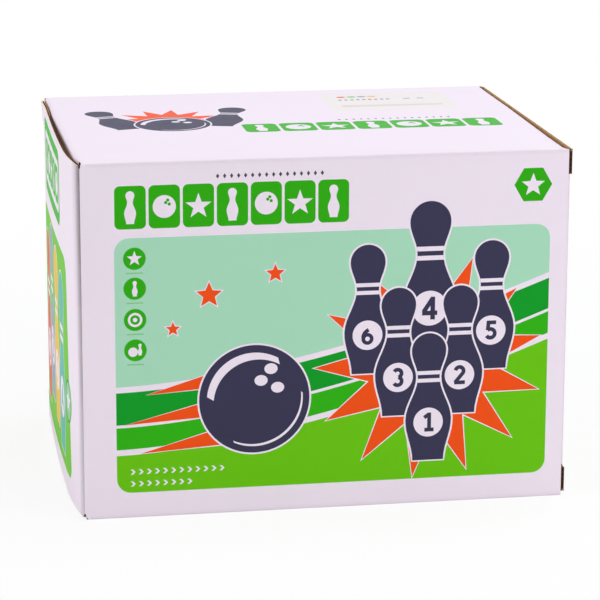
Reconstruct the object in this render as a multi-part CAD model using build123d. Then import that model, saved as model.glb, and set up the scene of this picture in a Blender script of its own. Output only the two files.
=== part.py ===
from build123d import *
import math
import os

os.makedirs("parts", exist_ok=True)

# Corrugated board, its creases and the room between laps, in millimetres
board = 1.8
crease_radius = 2.2
crease_gap = 0.1
lap_gap = 0.4
overrun = 5.0

# Glue flap, the maker's joint inside the back wall
glue_flap_width = 32.0
glue_flap_inset = 34.0
glue_flap_taper = 9.0

# Closures, the big end flaps, each with two slit lock shoulders
closure_lift = 3.0
shoulder_height = 17.0
shoulder_root = 6.0
slit = 0.8

# Left closure, pushed out from within and not quite home at its free edge.
# It rises to a bow at a place from its hinge, then falls to a lean.
left_bow_place = 65.0
left_bow = 5.3
left_lean = 1.2
left_drop = 2.0
left_step = 1.2

# Tuck flaps, creased on the closures' free edges
tuck_length = 24.0
tuck_room = 2.0
tuck_corner = 8.0

# Dust flaps, folded in behind the closures
dust_length = 95.0
dust_inset = 10.0
dust_slant_share = 0.8
dust_lock_length = 15.0
dust_notch_slope = 4.0
dust_notch_room = 3.0
dust_side_taper = 8.0
dust_corner = 6.0

# Pins, standing in columns and rows at the left
pin_columns = 2
pin_rows = 3
pin_gap = 1.5
base_radius = 27.0
base_edge = 1.5
belly_radius = 40.0
belly_height = 72.0
neck_radius = 19.0
neck_height = 148.0
head_radius = 30.0
head_height = 195.0

# Balls, side by side at the right
ball_count = 2
ball_radius = 61.0
ball_gap = 1.5
ball_seat = 0.3
ball_tilts = (40.0, 65.0)
dimple_sphere = 22.0
dimple_depth = 3.0
dimple_spread = 21.0
dimple_turns = (60.0, 120.0, 270.0)

# Room that the carton leaves round the set
head_room = 11.4
side_room = 3.9
middle_room = 32.7

# The set as it stands in the carton
pin_height = head_height + head_radius
pin_pitch = 2 * belly_radius + pin_gap
ball_pitch = 2 * ball_radius + ball_gap
set_length = pin_columns * pin_pitch + middle_room + ball_pitch
set_width = max(pin_rows * pin_pitch - pin_gap, ball_count * ball_pitch - ball_gap)
set_height = max(pin_height, ball_seat + 2 * ball_radius)

# Sleeve of the carton: four walls folded round the X axis, about the set
end_step = board + lap_gap
front_length = set_length + 2 * board + end_step
sleeve_height = set_height + 2 * board + head_room
sleeve_depth = set_width + 2 * board + side_room

# Faces and reaches of the two ends
closure_span = front_length + end_step
top_length = closure_span - left_step - end_step
left_face = (left_bow - closure_span) / 2
right_face = left_face + closure_span
half_depth = sleeve_depth / 2
tuck_face = sleeve_depth - board - tuck_room
pivot_depth = crease_radius * (1 - math.cos(math.radians(45)))

# Rises of a board: the place and height of its crest, and the height of its end
flat = (0.0, 0.0, 0.0)
left_rise = (left_bow_place, left_bow, left_lean)

# Directions of the row frame
east = Vector(1, 0, 0)
north = Vector(0, 1, 0)
up = Vector(0, 0, 1)


# Section of a strip of board, with its outer face on the local X axis.
# A raw end is cut square and a creased end is half of a rounded, mitred fold.
# A rise gives the place and height of the face's crest, and the height of its end.
def board_section(length, start, end, rise):
    crest_place, crest, lean = rise
    rounding = {"raw": 0.0, "crease": crease_radius}
    mitre = {"raw": 0.0, "crease": board}
    tip = {"raw": 0.0, "crease": pivot_depth}
    outer_start = (rounding[start], 0.0)
    outer_end = (length - rounding[end], lean)
    inner_start = (mitre[start], -board)
    inner_end = (length - mitre[end], lean - board)
    with BuildSketch() as section:
        with BuildLine():
            Line((tip[start], -tip[start]), inner_start)
            Line((length - tip[end], lean - tip[end]), inner_end)
            if start == "crease":
                CenterArc((crease_radius, -crease_radius), crease_radius, 135, -45)
            if end == "crease":
                CenterArc((length - crease_radius, lean - crease_radius), crease_radius, 45, 45)
            if crest > lean:
                TangentArc((crest_place, crest), outer_start, tangent=(-1, 0))
                TangentArc((crest_place, crest), outer_end, tangent=(1, 0))
                TangentArc((crest_place, crest - board), inner_start, tangent=(-1, 0))
                TangentArc((crest_place, crest - board), inner_end, tangent=(1, 0))
            else:
                Line(outer_start, outer_end)
                Line(inner_start, inner_end)
        make_face()
    return section.sketch


# Strip of board from a corner: its section runs along, and its width lies across
def strip(corner, along, outward, across, length, width, ends, rise=flat):
    plane = Plane(origin=corner, x_dir=along, z_dir=along.cross(outward))
    section = board_section(length, ends[0], ends[1], rise)
    return extrude(plane * section, width, dir=across)


# Die-cut outline, given along and across from a corner, deep enough to cut a board
def die(corner, along, across, points, corner_radius=0.0, rounded=()):
    plane = Plane(origin=corner, x_dir=along, z_dir=along.cross(across))
    outline = Polygon(*points, align=None)
    if rounded:
        corners = [outline.vertices().sort_by_distance(points[index])[0] for index in rounded]
        outline = fillet(corners, corner_radius)
    return extrude(plane * outline, board + overrun, both=True)


# Wall of the sleeve: the strip round the sleeve's section, cut by the strip along X
def wall(corner, along, outward, height, length, section_ends, length_ends):
    around = strip(corner, along, outward, east, height, length, section_ends)
    lengthwise = strip(corner, east, outward, along, length, height, length_ends)
    return around & lengthwise


def front_panel():
    corner = Vector(left_face, -half_depth, 0)
    return wall(corner, up, -north, sleeve_height, front_length,
                ("crease", "crease"), ("crease", "raw"))


def top_panel():
    corner = Vector(left_face + left_step, -half_depth, sleeve_height)
    return wall(corner, north, up, sleeve_depth, top_length,
                ("crease", "crease"), ("crease", "crease"))


def back_panel():
    corner = Vector(left_face + left_step, half_depth, sleeve_height)
    return wall(corner, -up, north, sleeve_height, closure_span - left_step,
                ("crease", "raw"), ("raw", "crease"))


def bottom_panel():
    corner = Vector(left_face + left_step, half_depth - board, 0)
    return wall(corner, -north, -up, sleeve_depth - board, top_length,
                ("crease", "crease"), ("crease", "crease"))


# The glue flap stands up from the bottom wall and lies flat on the back wall
def glue_flap():
    length = front_length + end_step - 2 * glue_flap_inset
    corner = Vector(left_face + glue_flap_inset, half_depth - board, 0)
    flap = strip(corner, up, north, east, glue_flap_width, length, ("crease", "raw"))
    outline = [
        (0, 0),
        (length, 0),
        (length - glue_flap_taper, glue_flap_width),
        (glue_flap_taper, glue_flap_width),
    ]
    return flap & die(corner, east, up, outline)


# Closure panel, its two shoulders reaching past the tuck crease to the far wall
def closure(corner, along, outward, rise, drop):
    height = sleeve_height - closure_lift - drop
    start = corner + up * closure_lift + along * crease_gap
    ends = ("crease", "crease")
    panel = strip(start, along, outward, up, tuck_face - crease_gap, height, ends, rise)
    reach = sleeve_depth - tuck_face + shoulder_root
    root = corner + along * (tuck_face - shoulder_root) + outward * rise[2]
    upper_level = sleeve_height - shoulder_height
    for level, tall in ((closure_lift, shoulder_height), (upper_level, shoulder_height - drop)):
        panel += strip(root + up * level, along, outward, up, reach, tall, ("raw", "raw"))
    return panel


# Tuck flap between the two slits, lying along the far wall's inner face
def tuck_flap(corner, along, outward, lean):
    low = closure_lift + shoulder_height + slit
    height = sleeve_height - shoulder_height - slit - low
    start = corner + along * tuck_face + up * low + outward * (lean - crease_gap)
    length = tuck_length - crease_gap
    flap = strip(start, -outward, along, up, length, height, ("crease", "raw"))
    outline = [(0, 0), (length, 0), (length, height), (0, height)]
    return flap & die(start, -outward, up, outline, tuck_corner, (1, 2))


# Dust flap: slanted on the closure's hinge side, with a lock shoulder on the other
def dust_flap(corner, along, outward, inward, step):
    lock_reach = sleeve_depth - board - lap_gap
    notch_reach = tuck_face - board - dust_notch_room
    notch_end = dust_lock_length + dust_notch_slope
    outline = [
        (dust_inset, 0),
        (lock_reach, 0),
        (lock_reach, dust_lock_length),
        (notch_reach, notch_end),
        (notch_reach - dust_side_taper, dust_length),
        (dust_inset + dust_slant_share * dust_length, dust_length),
    ]
    crease = corner - outward * step
    start = crease + inward * crease_gap
    length = dust_length - crease_gap
    flap = strip(start, inward, outward, along, length, sleeve_depth, ("crease", "raw"))
    return flap & die(crease, along, inward, outline, dust_corner, (2, 4, 5))


# Both ends are made alike, turned half round: the left is hinged in front, the right behind
def carton_end(side, face, outward, along, rise, drop, step):
    corner = Vector(face, 0, 0) - along * half_depth
    return {
        side + "_closure": closure(corner, along, outward, rise, drop),
        side + "_tuck_flap": tuck_flap(corner, along, outward, rise[2]),
        side + "_top_dust_flap": dust_flap(corner + up * sleeve_height, along, outward, -up, step),
        side + "_bottom_dust_flap": dust_flap(corner, along, outward, up, step),
    }


# Pin of revolution: arcs that run upright at the belly, the neck and the head
def pin_body():
    base = Vector(base_radius, 0)
    belly = Vector(belly_radius, belly_height)
    neck = Vector(neck_radius, neck_height)
    head = Vector(head_radius, head_height)
    crown = Vector(0, pin_height)
    waist = (belly + neck) / 2
    throat = (neck + head) / 2
    with BuildPart() as pin:
        with BuildSketch(Plane.XZ):
            with BuildLine():
                TangentArc(belly, base, tangent=(0, -1))
                TangentArc(belly, waist, tangent=(0, 1))
                TangentArc(neck, waist, tangent=(0, -1))
                TangentArc(neck, throat, tangent=(0, 1))
                TangentArc(head, throat, tangent=(0, -1))
                TangentArc(head, crown, tangent=(0, 1))
                Polyline(crown, (0, 0), base)
            make_face()
        revolve(axis=Axis.Z)
        chamfer(pin.edges().group_by(Axis.Z)[0], base_edge)
    return pin.part


# Ball with three shallow finger dimples round its pole
def ball_body():
    ball = Sphere(ball_radius)
    reach = ball_radius + dimple_sphere - dimple_depth
    for turn in dimple_turns:
        place = Rot(0, 0, turn) * Rot(0, dimple_spread, 0) * Pos(0, 0, reach)
        ball -= place * Sphere(dimple_sphere)
    return ball


# The set stands on the bottom wall, between the dust flaps of the two ends
def bowling_set():
    pieces = {}
    pin = pin_body()
    first_column = left_face + end_step + board + pin_gap + belly_radius
    for column in range(pin_columns):
        for row in range(pin_rows):
            number = column * pin_rows + row + 1
            x = first_column + column * pin_pitch
            y = (row - (pin_rows - 1) / 2) * pin_pitch
            pieces["pin_" + str(number)] = Pos(x, y, board) * pin
    ball = ball_body()
    ball_x = right_face - end_step - board - ball_gap - ball_radius
    ball_z = board + ball_seat + ball_radius
    for index in range(ball_count):
        y = (index - (ball_count - 1) / 2) * ball_pitch
        place = Pos(ball_x, y, ball_z) * Rot(0, ball_tilts[index], 0)
        pieces["ball_" + str(index + 1)] = place * ball
    return pieces


nodes = {
    "front_panel": front_panel(),
    "top_panel": top_panel(),
    "back_panel": back_panel(),
    "bottom_panel": bottom_panel(),
    "glue_flap": glue_flap(),
}
nodes.update(carton_end("left", left_face, -east, north, left_rise, left_drop, left_step))
nodes.update(carton_end("right", right_face, east, -north, flat, 0.0, end_step))
nodes.update(bowling_set())

for name, shape in nodes.items():
    export_step(shape, "parts/" + name + ".step")
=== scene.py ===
import math

import bpy
import numpy as np
from mathutils import Matrix, Vector
from mathutils.geometry import delaunay_2d_cdt


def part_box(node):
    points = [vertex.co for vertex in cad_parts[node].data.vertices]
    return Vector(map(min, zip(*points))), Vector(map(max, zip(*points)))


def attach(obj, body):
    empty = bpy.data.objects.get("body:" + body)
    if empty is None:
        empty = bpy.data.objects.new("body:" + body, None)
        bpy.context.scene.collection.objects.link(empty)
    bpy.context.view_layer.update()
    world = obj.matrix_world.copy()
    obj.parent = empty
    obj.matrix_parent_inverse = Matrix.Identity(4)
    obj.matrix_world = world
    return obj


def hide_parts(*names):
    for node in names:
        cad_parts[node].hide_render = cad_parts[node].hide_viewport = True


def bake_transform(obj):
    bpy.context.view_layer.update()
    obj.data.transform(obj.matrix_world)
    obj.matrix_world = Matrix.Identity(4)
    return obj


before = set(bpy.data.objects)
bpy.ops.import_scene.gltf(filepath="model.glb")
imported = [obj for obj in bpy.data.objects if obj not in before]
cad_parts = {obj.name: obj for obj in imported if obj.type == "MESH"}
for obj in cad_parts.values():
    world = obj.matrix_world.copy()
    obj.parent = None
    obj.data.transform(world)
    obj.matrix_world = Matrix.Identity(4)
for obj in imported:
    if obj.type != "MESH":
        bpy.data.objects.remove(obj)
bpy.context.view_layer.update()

mm = 0.001                            # sizes below are in millimetres, but for the studio's


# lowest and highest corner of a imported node
def span(node):
    low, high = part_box(node)
    return np.array(low) / mm, np.array(high) / mm


frontLow, frontHigh = span("front_panel")
backLow, backHigh = span("back_panel")
topLow, topHigh = span("top_panel")
_, closureHigh = span("right_closure")
bulgedLow, bulgedHigh = span("left_closure")
tuckLow, tuckHigh = span("left_tuck_flap")
dustLow, dustHigh = span("left_top_dust_flap")
glueLow, glueHigh = span("glue_flap")

carton = {
    "leftStep": 1.2,                  # top, back and dust flaps, in from the left closure's face
    "foldRadius": 1.1,                # of every fold, at the printed face
}
mitreTip = carton["foldRadius"] * (1 - math.cos(math.radians(45)))

boardThickness = topHigh[2] - topLow[2]
leftFace = backLow[0] - carton["leftStep"]
rightFace = closureHigh[0]
frontFace = frontLow[1]
backFace = backHigh[1]
cartonHeight = topHigh[2]
endStep = rightFace - frontHigh[0]
frontLength = frontHigh[0] - leftFace
topLength = frontLength - carton["leftStep"]
backLength = rightFace - backLow[0]
cartonDepth = backFace - frontFace
tuckCorner = backFace - tuckHigh[1]   # from the far wall to the tuck crease
crest = leftFace - bulgedLow[0]       # how far the left closure is pushed out from within
crestDrop = cartonHeight - bulgedHigh[2]
print("frame read: carton", round(frontLength), round(cartonDepth), round(cartonHeight))

inkColours = {
    "paper": "F3E6F4",
    "greenTitle": "2CAC00",
    "leaf": "68C400",
    "deepGreen": "009B22",
    "midGreen": "2DB204",
    "mint": "A9DDBF",
    "navy": "373551",
    "orange": "F4500A",
    "smoke": "4A4650",
    "slate": "8FA5BC",
    "yellow": "F2BE3A",
    "teal": "58B7AE",
    "red": "E2553C",
    "faintGreen": "8CC98F",
    "label": "EFE8E9",
    "labelEdge": "E2D4D2",
    "labelTick": "9C9AA4",
}


# display code to linear colour: the usual curve of 2.4 above its straight foot
def linear(code):
    share = np.array([int(code[i:i + 2], 16) / 255 for i in (0, 2, 4)])
    return np.where(share <= 0.04045, share / 12.92, ((share + 0.055) / 1.055) ** 2.4)


inks = {name: linear(code) for name, code in inkColours.items()}


# Flat outlines for the print, each an array of points

# ellipse: a radius carried once round its centre
def oval(x, y, radiusX, radiusY=None, steps=48):
    angle = np.linspace(0, 2 * math.pi, steps, endpoint=False)
    return np.column_stack([radiusX * np.cos(angle), (radiusY or radiusX) * np.sin(angle)]) + (x, y)


# points turned about the origin by an angle in degrees
def turned(points, degrees):
    c, s = math.cos(math.radians(degrees)), math.sin(math.radians(degrees))
    return np.asarray(points, float) @ np.array([[c, s], [-s, c]])


# regular outline whose corners lie in turn on two circles
def star(x, y, outer, inner, points, turn=90.0):
    angle = np.radians(turn) + np.arange(2 * points) * math.pi / points
    reach = np.where(np.arange(2 * points) % 2 == 0, outer, inner)
    return np.column_stack([x + reach * np.cos(angle), y + reach * np.sin(angle)])


# polygon with each corner cut back to an arc that both its sides touch
def rounded(points, radii, steps=7):
    points = np.asarray(points, float)
    made = []
    for index, radius in enumerate(np.broadcast_to(radii, len(points))):
        corner = points[index]
        before = points[index - 1] - corner
        after = points[(index + 1) % len(points)] - corner
        if radius <= 0:
            made.append(corner[None])
            continue
        before /= np.linalg.norm(before)
        after /= np.linalg.norm(after)
        half = math.acos(np.clip(before @ after, -1, 1)) / 2
        middle = (before + after) / np.linalg.norm(before + after)
        centre = corner + middle * radius / math.sin(half)
        first = corner + before * radius / math.tan(half) - centre
        last = corner + after * radius / math.tan(half) - centre
        sweep = math.atan2(first[0] * last[1] - first[1] * last[0], first @ last)
        angle = math.atan2(first[1], first[0]) + np.linspace(0, sweep, steps)
        made.append(centre + radius * np.column_stack([np.cos(angle), np.sin(angle)]))
    return np.vstack(made)


# upright rectangle between two corners
def rectangle(x0, y0, x1, y1):
    return np.array([(x0, y0), (x1, y0), (x1, y1), (x0, y1)], float)


# the same with rounded corners
def box(x0, y0, x1, y1, radius):
    return rounded(rectangle(x0, y0, x1, y1), radius)


# path thickened to both sides along its normals
def ribbon(path, width):
    path = np.asarray(path, float)
    way = np.gradient(path, axis=0)
    way /= np.linalg.norm(way, axis=1)[:, None]
    side = np.column_stack([-way[:, 1], way[:, 0]]) * np.reshape(width, (-1, 1)) / 2
    return np.vstack([path + side, (path - side)[::-1]])


# points along a circle from one angle to another, in degrees
def arc(x, y, radius, start, end, steps=16):
    angle = np.radians(np.linspace(start, end, steps))
    return np.column_stack([x + radius * np.cos(angle), y + radius * np.sin(angle)])


# outline pushed out along the mean normal of its two sides at each point
def grown(outline, width):
    ahead = np.roll(outline, -1, 0) - outline
    ahead /= np.maximum(np.linalg.norm(ahead, axis=1), 1e-9)[:, None]
    normal = np.column_stack([ahead[:, 1], -ahead[:, 0]])
    mean = normal + np.roll(normal, 1, 0)
    size = np.maximum(np.linalg.norm(mean, axis=1), 0.5)[:, None]
    following = np.roll(outline, -1, 0)
    area = np.sum(outline[:, 0] * following[:, 1] - outline[:, 1] * following[:, 0])
    return outline + mean / size * width * np.sign(area)


# side view of a pin: half-cosine waves between foot, belly, neck and head, then a quarter ellipse
pinForm = {"heights": (0.0, 72.0, 148.0, 195.0), "radii": (27.0, 40.0, 19.0, 30.0), "tall": 225.0}


# radius of that side view at a height
def pinRadius(height):
    heights, radii = np.array(pinForm["heights"]), np.array(pinForm["radii"])
    index = np.clip(np.searchsorted(heights, height, "right") - 1, 0, len(heights) - 2)
    share = np.clip((height - heights[index]) / (heights[index + 1] - heights[index]), 0, 1)
    waist = radii[index] + (radii[index + 1] - radii[index]) * (1 - np.cos(math.pi * share)) / 2
    crown = np.clip((height - heights[-1]) / (pinForm["tall"] - heights[-1]), 0, 1)
    return np.where(height > heights[-1], radii[-1] * np.sqrt(1 - crown ** 2), waist)


# that side view mirrored about its axis, standing at x, y; low and high cut a band out of it
def pinOutline(x, y, tall, turn=0.0, low=0.0, high=1.0, steps=34):
    share = low + (high - low) * np.sin(np.linspace(0, math.pi / 2, steps))
    height = share * pinForm["tall"]
    radius = pinRadius(height)
    flat = np.vstack([np.column_stack([radius, height]), np.column_stack([-radius, height])[::-1]])
    return turned(flat * tall / pinForm["tall"], turn) + (x, y)


# plain figures drawn with strokes in a box one high and two thirds wide
def numeral(figure, x, y, tall, ink, ground, turn=0.0, bold=0.2):
    strokes = {
        1: [[(0.12, 0.74), (0.38, 0.93)], [(0.38, 1.0), (0.38, 0.0)], [(0.14, 0.1), (0.62, 0.1)]],
        2: [np.vstack([arc(0.33, 0.7, 0.21, 170, -35), [(0.1, 0.1)]]), [(0.06, 0.1), (0.62, 0.1)]],
        3: [arc(0.31, 0.71, 0.2, 150, -80), arc(0.31, 0.3, 0.21, 80, -150)],
        4: [[(0.46, 1.0), (0.46, 0.0)], [(0.47, 0.95), (0.07, 0.35)], [(0.0, 0.29), (0.66, 0.29)]],
        5: [[(0.12, 0.9), (0.6, 0.9)], [(0.21, 0.98), (0.17, 0.5)], arc(0.31, 0.33, 0.23, 130, -150)],
        6: [arc(0.56, 0.36, 0.45, 178, 112)],
    }[figure]
    parts = [(ink, ribbon(stroke, bold)) for stroke in strokes]
    if figure == 6:
        parts += [(ink, oval(0.33, 0.31, 0.31)), (ground, oval(0.33, 0.31, 0.12, steps=24))]
    middle = (0.33, 0.5)
    return [(name, turned((part - middle) * tall, turn) + (x, y)) for name, part in parts]


# in shares of the drawn pin's height
drawnPin = {
    "bands": ((0.615, 0.645), (0.675, 0.705)),
    "disc": 0.3,                      # middle of the disc
    "discRadius": 0.115,
    "figure": 0.15,
}
pictureEdge = 1.2                     # white edge round every drawn pin and ball


# a plain pin with a white edge, two neck bands and a numbered disc
def pinPicture(x, y, tall, ink, figure=None, turn=0.0):
    whole = pinOutline(x, y, tall, turn)
    parts = [("paper", grown(whole, pictureEdge)), (ink, whole)]
    for low, high in drawnPin["bands"]:
        parts.append(("paper", pinOutline(x, y, tall, turn, low, high, 4)))
    disc = turned([(0, drawnPin["disc"] * tall)], turn)[0] + (x, y)
    if figure:
        parts.append(("paper", oval(*disc, drawnPin["discRadius"] * tall, steps=36)))
        parts += numeral(figure, *disc, drawnPin["figure"] * tall, ink, "paper", turn)
    return parts


# in shares of the drawn ball's radius
drawnBall = {
    # outer and inner arc, each with its centre and radius, and their two ends in degrees
    "light": ((0, 0, 0.86), (0.06, -0.07, 0.8), (60, 175)),
    "crescent": ((0, 0, 0.88), (-0.02, 0.03, 0.87), (-115, 5)),
    "holes": ((0.12, 0.34), (0.42, 0.2), (0.3, 0.55)),
    "holeRadii": (0.12, 0.1),
}


# a plain ball: white rim light, crescent and three finger spots
def ballPicture(x, y, radius, ink):
    parts = [("paper", oval(x, y, radius + pictureEdge, steps=72)), (ink, oval(x, y, radius, steps=72))]
    for key in ("light", "crescent"):
        outer, inner, (start, end) = drawnBall[key]
        there = arc(x + outer[0] * radius, y + outer[1] * radius, outer[2] * radius, start, end, 30)
        back = arc(x + inner[0] * radius, y + inner[1] * radius, inner[2] * radius, end, start, 30)
        parts.append(("paper", np.vstack([there, back])))
    wide, tall = drawnBall["holeRadii"]
    for holeX, holeY in drawnBall["holes"]:
        spot = oval(x + holeX * radius, y + holeY * radius, wide * radius, tall * radius, steps=24)
        parts.append(("paper", spot))
    return parts


# in shares of a tile's width, but for those marked
drawnTile = {
    "gap": 0.04,                      # at each side
    "round": 0.16,
    "pin": (0.12, 0.76),              # foot and height, in shares of its height
    "ball": 0.34,
    "hole": 0.14,                     # in shares of the ball's radius
    "starHeight": 0.48,               # in shares of its height
    "star": (0.4, 0.16, 5),           # outer and inner radius, and points
}


# row of tiles with pins, balls and stars left white
def tileRow(x, y, wide, tall, ink, count=7):
    pitch = wide / count
    gap, ball = drawnTile["gap"], drawnTile["ball"] * pitch
    foot, pinTall = drawnTile["pin"]
    outer, inner, points = drawnTile["star"]
    parts = []
    for index in range(count):
        left = x + index * pitch
        middle = left + pitch / 2
        right = left + (1 - gap) * pitch
        parts.append((ink, box(left + gap * pitch, y, right, y + tall, drawnTile["round"] * pitch)))
        if index % 3 == 0:
            parts.append(("paper", pinOutline(middle, y + foot * tall, pinTall * tall)))
        elif index % 3 == 1:
            parts.append(("paper", oval(middle, y + tall / 2, ball, steps=36)))
            for holeX, holeY in drawnBall["holes"]:
                holePlace = (middle + holeX * ball, y + tall / 2 + holeY * ball)
                parts.append((ink, oval(*holePlace, drawnTile["hole"] * ball, steps=16)))
        else:
            starMiddle = y + drawnTile["starHeight"] * tall
            parts.append(("paper", star(middle, starMiddle, outer * pitch, inner * pitch, points)))
    return parts


# row of small diamonds, each a star of two points
def diamonds(x, y, pitch, count, wide, tall):
    return [("smoke", star(x + index * pitch, y, wide, tall, 2)) for index in range(count)]


# the front and back wall's print, from the wall's lower left corner; a place is two numbers, and a
# star has an outer and an inner radius and a number of points
frontPrint = {
    "picture": (22, 17.3, 313.3, 190, 9.5),          # two corners, and the radius of all
    "laneEnds": (20, 316),
    # ink above each line, and the line's height at its two ends
    "laneLines": (("leaf", (12, 14)), ("paper", (43, 112)), ("midGreen", (47, 116)), ("paper", (62, 131)),
                  ("deepGreen", (64, 133)), ("paper", (86, 154)), ("", (90, 158))),
    "laneRise": 1.7,                  # power of the lines' curve
    "burst": (232, 96, 78, 42, 13, 96),              # place, star and turn
    "burstEdge": 1.6,
    # place of the foot, and height
    "pins": ((190, 92, 88), (274, 92, 88), (232, 104, 104), (211, 62, 88), (253, 62, 88), (232, 30, 88)),
    "ball": (114, 78, 37),                           # place and radius
    "tails": ((22, 70), (2, 84), (-18, 74)),         # how high over the ball's middle, and how long
    "tailFoot": ((-2, -11), (-2, 5)),                # its broad end
    "tailDrop": -16,                                 # of its point
    "tailEdge": 1.4,
    "stars": ((84, 150, 9), (128, 163, 6.5), (60, 128, 5)),      # place and radius
    "starEdge": 1.6,
    "starWaist": 0.45,                               # inner radius to each unit of the outer
    "badgeLeft": 35.2,
    "badgeHeights": (176.3, 156.3, 135.3, 114.8),
    "badge": 7.4,
    "badgeLine": (-5.5, -10.2, 5.5, -9.2),           # this and what follows from a badge's middle
    "badgeStar": (5.2, 2.2, 5),
    "badgePin": (0, -5.2, 10.4),
    "badgeRings": (("paper", 4.8, 30), ("greenTitle", 3.2, 24), ("paper", 1.5, 18)),    # radius, sides
    "badgeBall": (-1.6, -1.2, 3.2),
    "badgeSmallPin": (3, -3.6, 8),
    "chevron": ((0, -1.8), (1.6, -1.8), (3.4, 0), (1.6, 1.8), (0, 1.8), (1.8, 0)),
    "chevronRows": ((31.6, 12), (23.4, 8)),          # height and count
    "chevronLeft": 31,
    "chevronPitch": 5.4,
    "tiles": (21.6, 196, 156.2, 28.6),               # place, width and height
    "diamonds": (90, 229.3, 4.6, 16, 1.7, 1.1),      # place, pitch, count and two radii
    "hexagon": (301, 216.8, 12.9),                   # place and radius
    "hexagonStar": (301, 216.4, 8.2, 3.5, 5),
}


# band that climbs to the right between two power curves, clipped to the picture
def laneBand(ink, low, high, clip):
    start, end = frontPrint["laneEnds"]
    x = np.linspace(start, end, 40)
    rise = ((x - start) / (end - start)) ** frontPrint["laneRise"]
    lower = np.column_stack([x, low[0] + (low[1] - low[0]) * rise])
    upper = np.column_stack([x, high[0] + (high[1] - high[0]) * rise])
    return (ink, np.vstack([lower, upper[::-1]]), clip)


# round badges, each with another white figure and a short line under it
def badges():
    x, radius = frontPrint["badgeLeft"], frontPrint["badge"]
    heights = frontPrint["badgeHeights"]
    parts = []
    for y in heights:
        line = rectangle(*frontPrint["badgeLine"]) + (x, y)
        parts += [("greenTitle", oval(x, y, radius, steps=40)), ("faintGreen", line)]
    parts.append(("paper", star(x, heights[0], *frontPrint["badgeStar"])))
    aside, lift, tall = frontPrint["badgePin"]
    parts.append(("paper", pinOutline(x + aside, heights[1] + lift, tall)))
    for ink, ring, steps in frontPrint["badgeRings"]:
        parts.append((ink, oval(x, heights[2], ring, steps=steps)))
    aside, lift, ball = frontPrint["badgeBall"]
    parts.append(("paper", oval(x + aside, heights[3] + lift, ball, steps=24)))
    aside, lift, tall = frontPrint["badgeSmallPin"]
    parts.append(("paper", pinOutline(x + aside, heights[3] + lift, tall)))
    return parts


# a lane across a mint sky, pins on a burst, a ball with three tails, stars, badges, chevrons,
# tiles, diamonds and a hexagon, each laid over the one before
def frontArt():
    picture = box(*frontPrint["picture"])
    parts = [("mint", picture)]
    lines = frontPrint["laneLines"]
    for (ink, low), (_, high) in zip(lines, lines[1:]):
        parts.append(laneBand(ink, low, high, picture))
    rays = star(*frontPrint["burst"])
    parts += [("paper", grown(rays, frontPrint["burstEdge"])), ("orange", rays)]
    for index, place in enumerate(frontPrint["pins"]):
        parts += pinPicture(*place, "navy", len(frontPrint["pins"]) - index)
    foot = np.array(frontPrint["tailFoot"], float)
    for lift, long in frontPrint["tails"]:
        tail = np.vstack([(foot[0, 0] - long, frontPrint["tailDrop"]), foot]) + (0, lift)
        tail = tail + frontPrint["ball"][:2]
        parts += [("paper", grown(tail, frontPrint["tailEdge"]), picture), ("orange", tail, picture)]
    parts += ballPicture(*frontPrint["ball"], "navy")
    for x, y, size in frontPrint["stars"]:
        for ink, outer in (("paper", size + frontPrint["starEdge"]), ("orange", size)):
            parts.append((ink, star(x, y, outer, outer * frontPrint["starWaist"], 5)))
    parts += badges()
    for height, count in frontPrint["chevronRows"]:
        for index in range(count):
            x = frontPrint["chevronLeft"] + index * frontPrint["chevronPitch"]
            parts.append(("paper", np.array(frontPrint["chevron"]) + (x, height)))
    parts += tileRow(*frontPrint["tiles"], "greenTitle") + diamonds(*frontPrint["diamonds"])
    hexagon = oval(*frontPrint["hexagon"], steps=6)
    return parts + [("greenTitle", hexagon), ("paper", star(*frontPrint["hexagonStar"]))]


# the top wall's print, from the wall's front left corner and read in the same way
topPrint = {
    "burst": (76, 148, 40, 22, 12, 80),
    "pins": ((46, 118, 74, 14), (108, 120, 74, -16)),     # place, height and lean
    "ball": (77, 132, 26),
    "tiles": (122, 94, 182, 30),
    "diamonds": (194, 132, 5.2, 16, 1.8, 1.2),
    "sticker": (-46, -35, 46, 35, 3), # about its own middle
    "stickerPlace": (242.6, 198),
    "stickerTurn": -0.8,
    "dots": ("red", "leaf", "slate", "yellow"),
    "dot": (212, 221, 3.4, 2.4),      # the first one's place and its two radii
    "dotPitch": 7.5,
    "ticks": 9,
    "tick": (208, 207, 210.4, 211),   # corners of the first one
    "tickPitch": 4.4,
    "wideTicks": ((256, 208, 261, 210.5), (266, 208, 271, 210.5)),
    "bar": ((206, 180), (280, 181), (280, 186), (206, 188)),
}


# two pins and a ball on a burst, tiles, diamonds and a sticker
def topArt():
    rays = star(*topPrint["burst"])
    parts = [("paper", grown(rays, pictureEdge)), ("orange", rays)]
    for x, y, tall, turn in topPrint["pins"]:
        parts += pinPicture(x, y, tall, "navy", None, turn)
    parts += ballPicture(*topPrint["ball"], "navy")
    parts += tileRow(*topPrint["tiles"], "greenTitle") + diamonds(*topPrint["diamonds"])
    # a cream sticker, a little askew, with coloured dots, dark ticks and a pale bar
    sticker = turned(box(*topPrint["sticker"]), topPrint["stickerTurn"]) + topPrint["stickerPlace"]
    parts.append(("label", sticker))
    for index, ink in enumerate(topPrint["dots"]):
        parts.append((ink, oval(*topPrint["dot"], steps=20) + (index * topPrint["dotPitch"], 0)))
    for index in range(topPrint["ticks"]):
        tick = rectangle(*topPrint["tick"]) + (index * topPrint["tickPitch"], 0)
        parts.append(("labelTick", tick))
    parts += [("labelTick", rectangle(*corners)) for corners in topPrint["wideTicks"]]
    parts.append(("labelEdge", rounded(topPrint["bar"], 2)))
    return parts


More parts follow.
